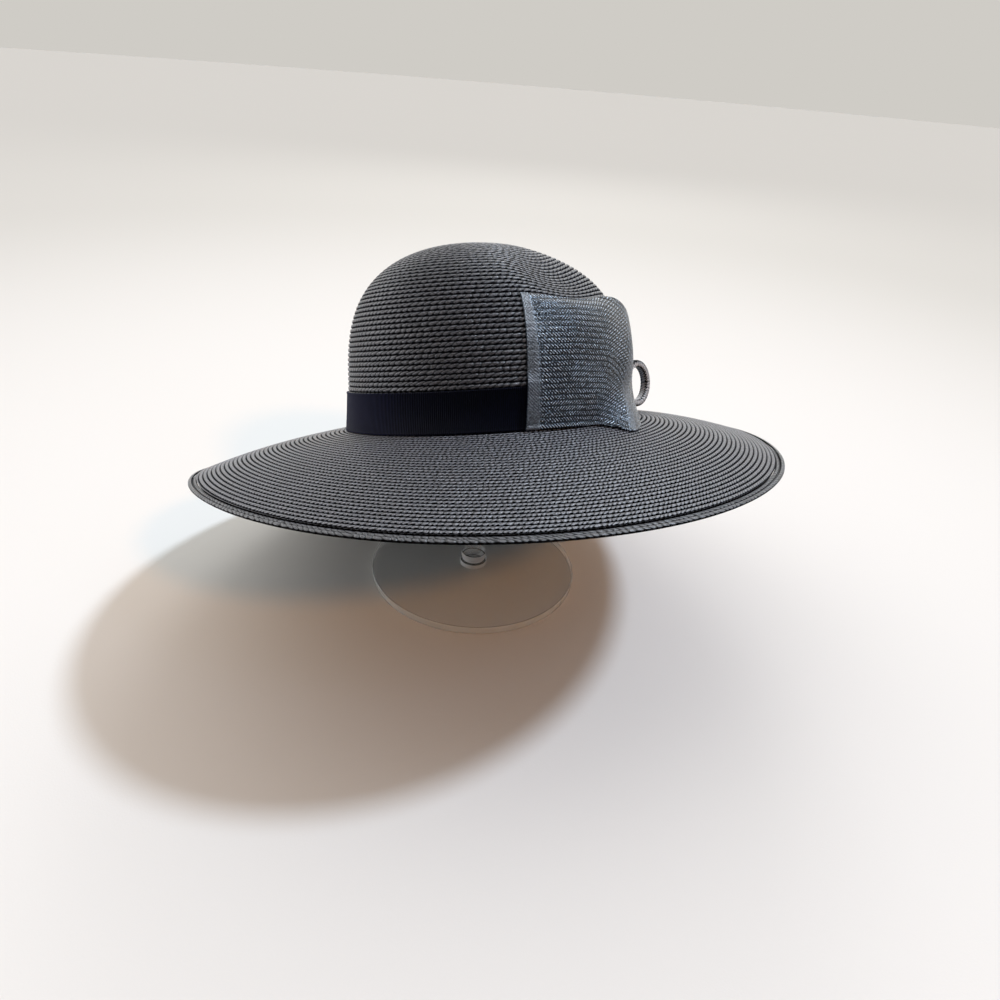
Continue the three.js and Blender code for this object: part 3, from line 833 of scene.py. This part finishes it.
to_step = np.abs((row_number + 0.5) % 1 - 0.5)
row_lift = PANEL_ROW_RISE * smooth_step(to_step, 0.02, 0.26) - PANEL_STEP_DEPTH
in_hem = 1 - smooth_step(along_strip + FRONT_HEM_TAPER * risen, FRONT_HEM - 0.5, FRONT_HEM + 0.2)
foot_bead = np.exp(-(((up_panel - FOOT_HEM / 2) / (FOOT_HEM / 2.2)) ** 2))
panel_lift = row_lift * (1 - 0.6 * in_hem) + 0.1 * in_hem + FOOT_BEAD_RISE * foot_bead
to_top = up_panel[-1] - up_panel
above_ribbon = smooth_step(up_panel, RIBBON_WIDTH + 1, RIBBON_WIDTH + 8)
near_front = (1 - smooth_step(along_strip, 0.0, FLUSH_FRONT)) * above_ribbon
near_top = (1 - smooth_step(to_top, 0.0, FLUSH_TOP)) * (1 - smooth_step(place_number, 2.8, 4.0))
sunk = FLUSH_DEPTH * np.maximum(near_front, 0.75 * near_top)

panel_normal = direction(np.cross(
    np.gradient(panel_middle, axis=1), np.gradient(panel_middle, axis=0),
))
panel_front = panel_middle + panel_normal * (PANEL_THICKNESS / 2 + panel_lift - sunk)[..., None]
panel_back = panel_middle - panel_normal * (PANEL_THICKNESS / 2 + sunk)[..., None]
panel_pairs = np.stack([np.broadcast_to(along_strip, row_number.shape), row_number * PANEL_ROW], axis=-1)
lowest, highest = up_panel[-1].min(), up_panel[-1].max()
print(f"the strip is {along_strip[-1]:.0f} mm long, and {lowest:.0f} to {highest:.0f} mm high")

# %% [markdown]
# ## A sheet with two faces
# Cloth has a thickness, which shows at its cut or turned edges. So the panel is two skins on the same
# grid with a narrow strip of faces all round.

# %% The panel as a closed sheet
def closed_sheet(front, back, pairs):
    """Points, faces and corner pairs of a sheet from two grids of points that match."""
    lines, places = front.shape[:2]
    number = np.arange(lines * places).reshape(lines, places)
    here, beside = number[:-1, :-1].ravel(), number[:-1, 1:].ravel()
    above, across = number[1:, :-1].ravel(), number[1:, 1:].ravel()
    front_faces = np.stack([here, beside, across, above], axis=-1)
    back_faces = front_faces[:, ::-1] + front[..., 0].size
    border = np.concatenate([number[0, :-1], number[:-1, -1], number[-1, :0:-1], number[:0:-1, 0]])
    following = np.roll(border, -1)
    edge_faces = np.stack([border, border + number.size, following + number.size, following], axis=-1)
    faces = np.vstack([front_faces, back_faces, edge_faces])
    both = np.vstack([pairs.reshape(-1, 2)] * 2)
    return np.vstack([front.reshape(-1, 3), back.reshape(-1, 3)]), faces, both[faces]


panel_sheet = closed_sheet(on_stand(panel_front), on_stand(panel_back), panel_pairs)
print("panel faces:", len(panel_sheet[1]))

# %% [markdown]
# ## Fine diagonal braid cloth
# The panel's cloth is plaited from much finer, shinier fibre, in rows like the hat's. Two sets of threads
# cross on the slant and make a net of tiny diamonds that flash one after another. Its pale blue cast is the
# sheen of smooth black fibre under a cool light, and it is painted into the cloth's colour as painted
# sheen. The hem shows several layers pressed flat, so it is greyer and duller.

# %% The panel's threads
# The real threads lie well under a millimetre apart, too fine to show, so they are drawn coarser.
THREAD = 2.1
THREAD_SLANT = 1.1


def crossed_threads(tree, place, along, across):
    """How much thread shows, from two sets of slanted threads that take turns to lie on top."""
    rising = add(tree, "ShaderNodeMath", {
        0: across, 1: -THREAD_SLANT, 2: along,
    }, operation="MULTIPLY_ADD").outputs[0]
    falling = add(tree, "ShaderNodeMath", {
        0: across, 1: THREAD_SLANT, 2: along,
    }, operation="MULTIPLY_ADD").outputs[0]
    patches_place = add(tree, "ShaderNodeVectorMath", {
        0: place, 1: (0.035, 0.06, 1.0),
    }, operation="MULTIPLY").outputs[0]
    patches = add(tree, "ShaderNodeTexNoise", {
        "Vector": patches_place, "Scale": 1.0, "Detail": 1.0,
    }, noise_dimensions="2D").outputs[0]
    rising_on_top = add(tree, "ShaderNodeMapRange", {
        "Value": patches, "From Min": 0.42, "From Max": 0.58,
    }).outputs[0]
    to_rising = add(tree, "ShaderNodeMath", {0: rising, 1: THREAD / 2}, operation="PINGPONG").outputs[0]
    to_falling = add(tree, "ShaderNodeMath", {0: falling, 1: THREAD / 2}, operation="PINGPONG").outputs[0]
    to_thread = add(tree, "ShaderNodeMix", {
        0: rising_on_top, 2: to_falling, 3: to_rising,
    }, data_type="FLOAT").outputs[0]
    return add(tree, "ShaderNodeMapRange", {
        "Value": to_thread, "From Min": 0.5, "From Max": 0.92,
    }, interpolation_type="SMOOTHSTEP").outputs[0]


print(f"a thread each {THREAD} mm")

# %% [markdown]
# ## Where the panel is smooth
# The front hem, the rolled foot and the fold press the threads flat, so the net and the steps between
# rows fade out there.

# %% The panel's rows and smooth places
FOLD_ALONG = float(np.interp(6.1, place_number, along_strip))


def netted_body(tree, along, across):
    """How much of the net shows, from 0 to 1: least on the front hem and along the fold."""
    hem_run = add(tree, "ShaderNodeMath", {
        0: across, 1: FRONT_HEM_TAPER, 2: along,
    }, operation="MULTIPLY_ADD").outputs[0]
    past_hem = add(tree, "ShaderNodeMapRange", {
        "Value": hem_run, "From Min": FRONT_HEM - 1.5, "From Max": FRONT_HEM + 0.8, "To Min": 0.16,
    }).outputs[0]
    to_fold = add(tree, "ShaderNodeMath", {0: along, 1: FOLD_ALONG}, operation="SUBTRACT").outputs[0]
    from_fold = add(tree, "ShaderNodeMath", {0: to_fold}, operation="ABSOLUTE").outputs[0]
    off_fold = add(tree, "ShaderNodeMapRange", {
        "Value": from_fold, "From Min": 3.0, "From Max": 8.0, "To Min": 0.2, "To Max": 1.0,
    }, interpolation_type="SMOOTHSTEP").outputs[0]
    return add(tree, "ShaderNodeMath", {0: past_hem, 1: off_fold}, operation="MULTIPLY").outputs[0]


def panel_slit_shade(tree, across, threads, body):
    """The painted shade in the steps between rows and in the gaps between threads."""
    to_step = add(tree, "ShaderNodeMath", {0: across, 1: PANEL_ROW / 2}, operation="PINGPONG").outputs[0]
    step_shade = add(tree, "ShaderNodeMapRange", {
        "Value": to_step, "From Min": 0.25, "From Max": 0.75, "To Min": 0.85, "To Max": 0.0,
    }, interpolation_type="SMOOTHSTEP").outputs[0]
    gap_shade = add(tree, "ShaderNodeMapRange", {
        "Value": threads, "To Min": 0.92, "To Max": 0.0,
    }).outputs[0]
    deepest = add(tree, "ShaderNodeMath", {0: step_shade, 1: gap_shade}, operation="MAXIMUM").outputs[0]
    return add(tree, "ShaderNodeMath", {0: deepest, 1: body}, operation="MULTIPLY").outputs[0]


print(f"the fold is {FOLD_ALONG:.0f} mm from the front hem")

# %% [markdown]
# ## The panel's colour and gloss
# Each shiny fibre mirrors the room, so the cloth is light where a thread catches light and navy black
# beside it. That light is painted into the colour as painted sheen, the dark between threads and in the
# steps as painted shade, and the rolled foot is painted light as a painted highlight. The hem is one even
# tone.

# %% The panel's material
FIBRE_IOR = 1.58
FIBRE_GLOSS, HEM_GLOSS = 0.2, 0.36
SLUB_DEPTH = 0.3
PANEL_SHARP_OVER = 60


def diagonal_cloth(name, fibre, painted_sheen, step, hem, thread_depth):
    """Fine braid cloth. Its pairs count millimetres, and thread_depth is in millimetres too."""
    material, tree = new_tree(name)
    place, along, across = corner_pairs(tree)
    threads = crossed_threads(tree, place, along, across)
    body = netted_body(tree, along, across)
    slit_shade = panel_slit_shade(tree, across, threads, body)
    # The rolled foot is painted light, as a painted highlight.
    foot_highlight = add(tree, "ShaderNodeMapRange", {
        "Value": across, "From Min": 1.2, "From Max": 2.0, "To Min": 1.0, "To Max": 0.0,
    }).outputs[0]

    # Uneven fibres; the lighter ones take the painted sheen.
    slubs = add(tree, "ShaderNodeTexNoise", {
        "Vector": place, "Scale": 0.9, "Detail": 3.0, "Roughness": 0.65,
    }, noise_dimensions="2D").outputs[0]
    crinkle = add(tree, "ShaderNodeMapRange", {
        "Value": slubs, "From Min": 0.42, "From Max": 0.6,
    }).outputs[0]
    # Where the painted sheen and the foot's painted highlight go.
    painted_glint = add(tree, "ShaderNodeMath", {0: crinkle, 1: foot_highlight}, operation="MAXIMUM").outputs[0]
    face = add(tree, "ShaderNodeMix", {
        0: painted_glint, 6: colour(fibre), 7: colour(painted_sheen),
    }, data_type="RGBA").outputs[2]
    hemmed = add(tree, "ShaderNodeMix", {
        0: body, 6: colour(hem), 7: face,
    }, data_type="RGBA").outputs[2]
    # The painted shade goes over in the steps and between threads.
    stepped = add(tree, "ShaderNodeMix", {
        0: slit_shade, 6: hemmed, 7: colour(step),
    }, data_type="RGBA").outputs[2]
    gloss = add(tree, "ShaderNodeMapRange", {
        "Value": body, "To Min": HEM_GLOSS, "To Max": FIBRE_GLOSS,
    }).outputs[0]

    netted = add(tree, "ShaderNodeBump", {
        "Height": threads, "Distance": thread_depth * MM, "Strength": 1.0,
    })
    uneven = add(tree, "ShaderNodeBump", {
        "Height": slubs, "Distance": SLUB_DEPTH * MM, "Strength": 1.0, "Normal": netted.outputs[0],
    })
    shader = add(tree, "ShaderNodeBsdfPrincipled", {
        "Base Color": stepped, "Metallic": slit_shade, "Roughness": gloss, "Normal": uneven.outputs[0],
        "IOR": FIBRE_IOR, "Specular IOR Level": 1.0,
    })
    add(tree, "ShaderNodeOutputMaterial", {"Surface": shader.outputs[0]})
    return material


# The lighter tone is painted sheen, and the step tone is painted shade in the steps and between threads.
panel_cloth = diagonal_cloth(
    "fine_diagonal_braid", fibre="#050917", painted_sheen="#c8dcf2", step="#010204", hem="#070d20",
    thread_depth=0.25,
)
panel = make_piece(
    "panel_gathered", "side_panel", panel_sheet, panel_cloth, PANEL_SHARP_OVER
)

# %% [markdown]
# ## The ring
# A short length of braid is rolled into a cord and closed into a ring, which is sewn to the panel by its
# edge and stands out behind the pleat. Its plait winds round it, so the slanted tufts wrap the section. Its
# face is painted pale grey as painted light, and its outer edge black as painted shade.

# %% The ring loop
RING_OUTER_RADIUS = 17.0
RING_SECTION = {"radial": 5.0, "axial": 6.6, "corner_power": 0.6}
RING_SEAT_TURN, RING_OUTWARD = math.radians(9), math.radians(48)
RING_CENTRE_HEIGHT, RING_SEAT_OFF = 18.0, 4.6
RING_SIDES, RING_COLUMNS = 24, 96
RING_TUFT = 2.4

outwards = np.array([math.cos(RING_OUTWARD), math.sin(RING_OUTWARD), 0])
sideways = np.array([-math.sin(RING_OUTWARD), math.cos(RING_OUTWARD), 0])
ring_centre = off_crown(RING_SEAT_TURN, RING_CENTRE_HEIGHT, RING_SEAT_OFF) + outwards * RING_OUTER_RADIUS


def around_ring(turn, out, up):
    turn, out, up = (v[..., None] for v in np.broadcast_arrays(turn, out, up))
    round_way = np.cos(turn) * outwards + np.sin(turn) * np.array([0, 0, 1.0])
    return on_stand(ring_centre + out * round_way - up * sideways)


def squared_off(value):
    """A cosine or sine raised to the power that squares off the ring's section."""
    return math.copysign(abs(value) ** RING_SECTION["corner_power"], value)


middle_radius = RING_OUTER_RADIUS - RING_SECTION["radial"] / 2
ring_outline = [
    (
        middle_radius + RING_SECTION["radial"] / 2 * squared_off(math.cos(a)),
        RING_SECTION["axial"] / 2 * squared_off(math.sin(a)),
    )
    for a in np.linspace(math.pi / 4, 9 * math.pi / 4, RING_SIDES, endpoint=False)
]
# The ring's pale tones are painted light on its lit face, and its step tone and last row are painted shade.
ring_braid = sewn_braid(
    "rolled_ring_braid", straw="#85868b", painted_sheen="#f2f3f5", step="#040406",
    shine=0.6, tuft_depth=0.2, bridged=0.8, shaded_edge=True,
)
ring_tufts = round(2 * math.pi * middle_radius / RING_TUFT)
ring_skin = swept_skin(around_ring, ring_outline, RING_COLUMNS, ring_tufts, RING_ROWS)
make_piece("ring_rolled", "ring_loop", ring_skin, ring_braid)
print(f"ring {2 * RING_OUTER_RADIUS:.0f} mm across, {ring_tufts} tufts round")

# %% [markdown]
# ## The clear stand
# The stand is cast acrylic: a round plate, a collar with two stacked rims, a stem and a small domed pad
# under the crown. Polished acrylic shows mostly what is behind it. What gives it away is its edges, which
# gather light and look brighter, or catch a dark line where they are bevelled. So flat faces are nearly
# see-through. On the plate and the collar, the light on upright edges is a painted highlight in a lighter,
# less clear acrylic, and the dark line on the bevels is painted shade in a darker one. The collar is small
# and nearly all edge, and its painted highlight is the milkiest. Acrylic's IOR is 1.49, and fine wear dulls
# its polish.

# %% Acrylic
ACRYLIC_IOR, ACRYLIC_WEAR = 1.49, 0.06


def acrylic(name, tint, seen, roughness):
    """Clear cast acrylic. seen is how much of it shows, from 0 to 1."""
    material, tree = new_tree(name)
    grain = add(tree, "ShaderNodeTexNoise", {"Scale": 60.0, "Detail": 2.0}).outputs[0]
    wear = add(tree, "ShaderNodeMapRange", {
        "Value": grain, "To Min": roughness, "To Max": roughness + ACRYLIC_WEAR,
    }).outputs[0]
    shader = add(tree, "ShaderNodeBsdfPrincipled", {
        "Base Color": colour(tint), "Roughness": wear, "IOR": ACRYLIC_IOR, "Alpha": seen,
    })
    add(tree, "ShaderNodeOutputMaterial", {"Surface": shader.outputs[0]})
    return material


# The edge and collar acrylics are a painted highlight, and the bevel acrylic is painted shade.
clear_acrylic = acrylic("clear_acrylic", "#cfd2cf", seen=0.16, roughness=0.03)
edge_highlight_acrylic = acrylic("acrylic_edge_painted_highlight", "#f4f6f2", seen=0.32, roughness=0.05)
shaded_acrylic = acrylic("shaded_acrylic_bevel", "#3c3a36", seen=0.55, roughness=0.05)
collar_highlight_acrylic = acrylic("acrylic_collar_painted_highlight", "#ffffff", seen=0.6, roughness=0.04)
print("acrylics:", clear_acrylic.name, edge_highlight_acrylic.name, shaded_acrylic.name, collar_highlight_acrylic.name)

# %% [markdown]
# ## Four turned pieces
# Every part of the stand is round, so each is a section turned about the stem. Their sizes are the CAD
# model's. On the plate and the collar, a face's slope then says which of the acrylics it gets.

# %% The stand's pieces
BASE_RADIUS, BASE_THICKNESS, BASE_BEVEL = 79.0, 6.0, 0.8
STEM_RADIUS = 6.0
PAD_RADIUS, PAD_EDGE_HEIGHT, PAD_DOME_HEIGHT, PAD_BEVEL = 20.0, 4.0, 7.0, 1.0
STAND_HEIGHT = 244.2
COLLAR_HEIGHT = 11.0
STAND_COLUMNS, STAND_SHARP_OVER, DOME_STEPS = 160, 20, 12
FLAT_OVER, BEVEL_OVER = 0.98, 0.8
COLLAR_PROFILE = [
    (9.7, 0.0), (10.3, 0.25), (10.5, 0.8), (10.5, 2.8), (10.2, 3.6), (8.6, 4.5), (8.0, 5.0), (8.0, 6.0),
    (8.5, 6.6), (9.4, 7.2), (9.5, 7.8), (9.5, 10.0), (9.3, 10.6), (8.5, COLLAR_HEIGHT),
]


def around_stem(turn, out, up):
    turn, out, up = np.broadcast_arrays(turn, out, up)
    return np.stack([out * np.cos(turn), out * np.sin(turn), up], axis=-1) * MM


def rounded_edge(radius, low, high, bevel):
    """A turned plate's section, from the middle of its underside round to the middle of its top."""
    corner = [math.radians(a) for a in (-90, -60, -30, 0)]
    lower = [(radius - bevel + bevel * math.cos(a), low + bevel + bevel * math.sin(a)) for a in corner]
    upper = [(out, high - (up - low)) for out, up in reversed(lower)]
    return [(0, low), *lower, *upper, (0, high)]


plate_outline = rounded_edge(BASE_RADIUS, 0, BASE_THICKNESS, BASE_BEVEL)
collar_foot = BASE_THICKNESS + GAP
stem_foot = collar_foot + COLLAR_HEIGHT + GAP
pad_edge = STAND_HEIGHT - PAD_DOME_HEIGHT
pad_dome = [
    (PAD_RADIUS * math.cos(a), pad_edge + PAD_DOME_HEIGHT * math.sin(a))
    for a in np.linspace(0, math.pi / 2, DOME_STEPS)
]
collar_sides = [(out, collar_foot + up) for out, up in COLLAR_PROFILE]
stand_outlines = {
    "stand_base": plate_outline,
    "stand_collar": [(0, collar_foot), *collar_sides, (0, collar_foot + COLLAR_HEIGHT)],
    "stand_stem": rounded_edge(STEM_RADIUS, stem_foot, pad_edge - PAD_EDGE_HEIGHT - GAP, 0.3),
    "stand_pad": [
        (0, pad_edge - PAD_EDGE_HEIGHT), (PAD_RADIUS - PAD_BEVEL, pad_edge - PAD_EDGE_HEIGHT),
        (PAD_RADIUS, pad_edge - PAD_EDGE_HEIGHT + PAD_BEVEL), *pad_dome,
    ],
}
for node, outline in stand_outlines.items():
    skin = swept_skin(around_stem, outline, STAND_COLUMNS, 1, 1)
    clear = make_piece(f"{node}_cast", node, skin, clear_acrylic, STAND_SHARP_OVER)
    if node in ("stand_base", "stand_collar"):
        clear.data.materials.append(collar_highlight_acrylic if node == "stand_collar" else edge_highlight_acrylic)
        clear.data.materials.append(shaded_acrylic)
        # Upright edges get the painted highlight, and bevels the painted shade.
        for face in clear.data.polygons:
            slope = abs(face.normal.z)
            face.material_index = 0 if slope > FLAT_OVER else 2 if slope > BEVEL_OVER else 1
print("stand pieces:", ", ".join(stand_outlines))

# %% [markdown]
# ## The floor
# The floor is plain pale cotton, and the space behind it has nearly the same tone. Cotton's threads are
# about a third of a millimetre apart, too fine to show, so its weave is drawn about three times as coarse,
# some 900 lumps to the metre. Farther off, the floor is painted a little greyer, as painted shade.

# %% The floor
FLOOR_RADIUS = 12.0
FLOOR_DROP = 0.0002
FLOOR_SIDES = 64
WEAVE_TO_METRE, WEAVE_DEPTH = 900.0, 0.1


def cotton(name, near, far_shade):
    """Plain pale woven cotton, with painted shade that makes it a little greyer away from the middle."""
    material, tree = new_tree(name)
    place = add(tree, "ShaderNodeTexCoord").outputs["Object"]
    weave = add(tree, "ShaderNodeTexNoise", {
        "Vector": place, "Scale": WEAVE_TO_METRE, "Detail": 2.0,
    }).outputs[0]
    bump = add(tree, "ShaderNodeBump", {"Height": weave, "Distance": WEAVE_DEPTH * MM, "Strength": 0.4})
    away = add(tree, "ShaderNodeVectorMath", {0: place}, operation="LENGTH").outputs["Value"]
    # Painted shade: the cotton turns greyer with distance from the middle.
    distance_shade = add(tree, "ShaderNodeMapRange", {
        "Value": away, "From Min": 0.25, "From Max": 1.6,
    }, interpolation_type="SMOOTHSTEP").outputs[0]
    tint = add(tree, "ShaderNodeMix", {
        0: distance_shade, 6: colour(near), 7: colour(far_shade),
    }, data_type="RGBA").outputs[2]
    shader = add(tree, "ShaderNodeBsdfPrincipled", {
        "Base Color": tint, "Roughness": 0.9, "Normal": bump.outputs[0], "Specular IOR Level": 0.0,
    })
    add(tree, "ShaderNodeOutputMaterial", {"Surface": shader.outputs[0]})
    return material


floor_corners = [
    (FLOOR_RADIUS * math.cos(a), FLOOR_RADIUS * math.sin(a), -FLOOR_DROP)
    for a in np.linspace(0, 2 * math.pi, FLOOR_SIDES, endpoint=False)
]
floor_mesh = bpy.data.meshes.new("floor")
floor_mesh.from_pydata(floor_corners, [], [range(FLOOR_SIDES)])
# The second tone is painted shade, for the floor away from the hat.
floor_mesh.materials.append(cotton("pale_cotton", near="#e1dfdc", far_shade="#c6c4bf"))
floor = bpy.data.objects.new("floor", floor_mesh)
bpy.context.scene.collection.objects.link(floor)
print(f"floor {2 * FLOOR_RADIUS:.0f} m across")

# %% [markdown]
# ## The lights
# The photo's main light stands behind the hat on the right, more than halfway up: the shadow falls to
# the lower left, and its edge is soft. The room in front is dim, which is why the front of the crown is
# nearly black. One weak warm lamp there warms the shadow, except where the brim keeps it off. It is
# kept out of the gloss, because it would speckle the panel orange. A window behind the hat lights the
# far side, and a narrow cool one gives the panel its pale glints. A small bright pane overhead gives the
# crown's shoulder its white glints, and is kept out of the diffuse light, so that it does nothing else.
# Light bounced off a wall on the left lifts the crown's left side. The floor is spared from that one,
# because it would bleach.

# %% The lights
HAT_MIDDLE = (0, 0, 0.15)


def facing(place, target):
    """A matrix that puts a light at a place and turns it to its target."""
    away = np.array(place) - target
    z = away / np.linalg.norm(away)
    x = np.cross((0, 0, 1.0), z)
    x = x / np.linalg.norm(x)
    return Matrix.Translation(place) @ Matrix(np.stack([x, np.cross(z, x), z], axis=1)).to_4x4()


def around_hat(azimuth, elevation, distance):
    """A place round the hat, with its azimuth turned from +X towards +Y."""
    a, e = math.radians(azimuth), math.radians(elevation)
    flat = distance * math.cos(e)
    return (flat * math.cos(a), flat * math.sin(a), distance * math.sin(e))


def add_light(name, kind, place, watts, tint, **settings):
    """A light that faces the hat."""
    lamp = bpy.data.lights.new(name, kind)
    lamp.energy, lamp.color = watts, colour(tint)[:3]
    for setting, value in settings.items():
        setattr(lamp, setting, value)
    holder = bpy.data.objects.new(name, lamp)
    holder.matrix_world = facing(place, HAT_MIDDLE)
    bpy.context.scene.collection.objects.link(holder)
    return holder


add_light("main", "SUN", around_hat(20, 55, 3.0), 2.25, "#e0efff", angle=math.radians(7))
warm_lamp = add_light(
    "warm_lamp", "SUN", around_hat(-46, 41, 3.0), 0.75, "#ffb45c", angle=math.radians(6)
)
warm_lamp.visible_glossy = False
add_light("back_window", "AREA", around_hat(88, 36, 2.4), 8.0, "#ffffff", size=0.8)
left_wall = add_light(
    "left_wall", "AREA", around_hat(165, 13, 4.0), 40.0, "#f4f6ff",
    shape="RECTANGLE", size=2.5, size_y=1.4,
)
spared = bpy.data.collections.new("spared_by_left_wall")
spared.objects.link(floor)
spared.collection_objects[0].light_linking.link_state = "EXCLUDE"
left_wall.light_linking.receiver_collection = spared
add_light(
    "cool_window", "AREA", around_hat(-38, 44, 1.5), 1.6, "#cfe0ff",
    shape="RECTANGLE", size=0.2, size_y=0.8,
)
skylight = add_light("skylight", "AREA", around_hat(-48, 68, 1.4), 7.0, "#eef6ff", size=0.3)
skylight.visible_diffuse = False
print("lights:", ", ".join(lamp.name for lamp in bpy.data.lights))

# %% [markdown]
# ## The room
# The room itself lights the hat too, and it is bright at the back on the left and dark in front on the
# right. The camera sees one plain tone behind the floor.

# %% The room
world = bpy.data.worlds.new("studio")
bpy.context.scene.world = world
world.use_nodes = True
tree = world.node_tree
tree.nodes.clear()
way = add(tree, "ShaderNodeSeparateXYZ", {"Vector": add(tree, "ShaderNodeTexCoord").outputs["Generated"]})
from_front_right = add(tree, "ShaderNodeMath", {
    0: way.outputs["X"], 1: -0.6, 2: way.outputs["Y"],
}, operation="MULTIPLY_ADD").outputs[0]
from_back = add(tree, "ShaderNodeMapRange", {
    "Value": from_front_right, "From Min": -0.4, "From Max": 0.45, "To Min": 0.04, "To Max": 1.35,
}, interpolation_type="SMOOTHSTEP").outputs[0]
room = add(tree, "ShaderNodeBackground", {"Color": colour("#fbfaf6"), "Strength": from_back})
backdrop = add(tree, "ShaderNodeBackground", {"Color": colour("#cfccc6"), "Strength": 1.0})
seen = add(tree, "ShaderNodeLightPath").outputs["Is Camera Ray"]
mixed = add(tree, "ShaderNodeMixShader", {0: seen, 1: room.outputs[0], 2: backdrop.outputs[0]})
add(tree, "ShaderNodeOutputWorld", {"Surface": mixed.outputs[0]})

bpy.context.scene.view_settings.view_transform = "Standard"
print("world:", world.name)
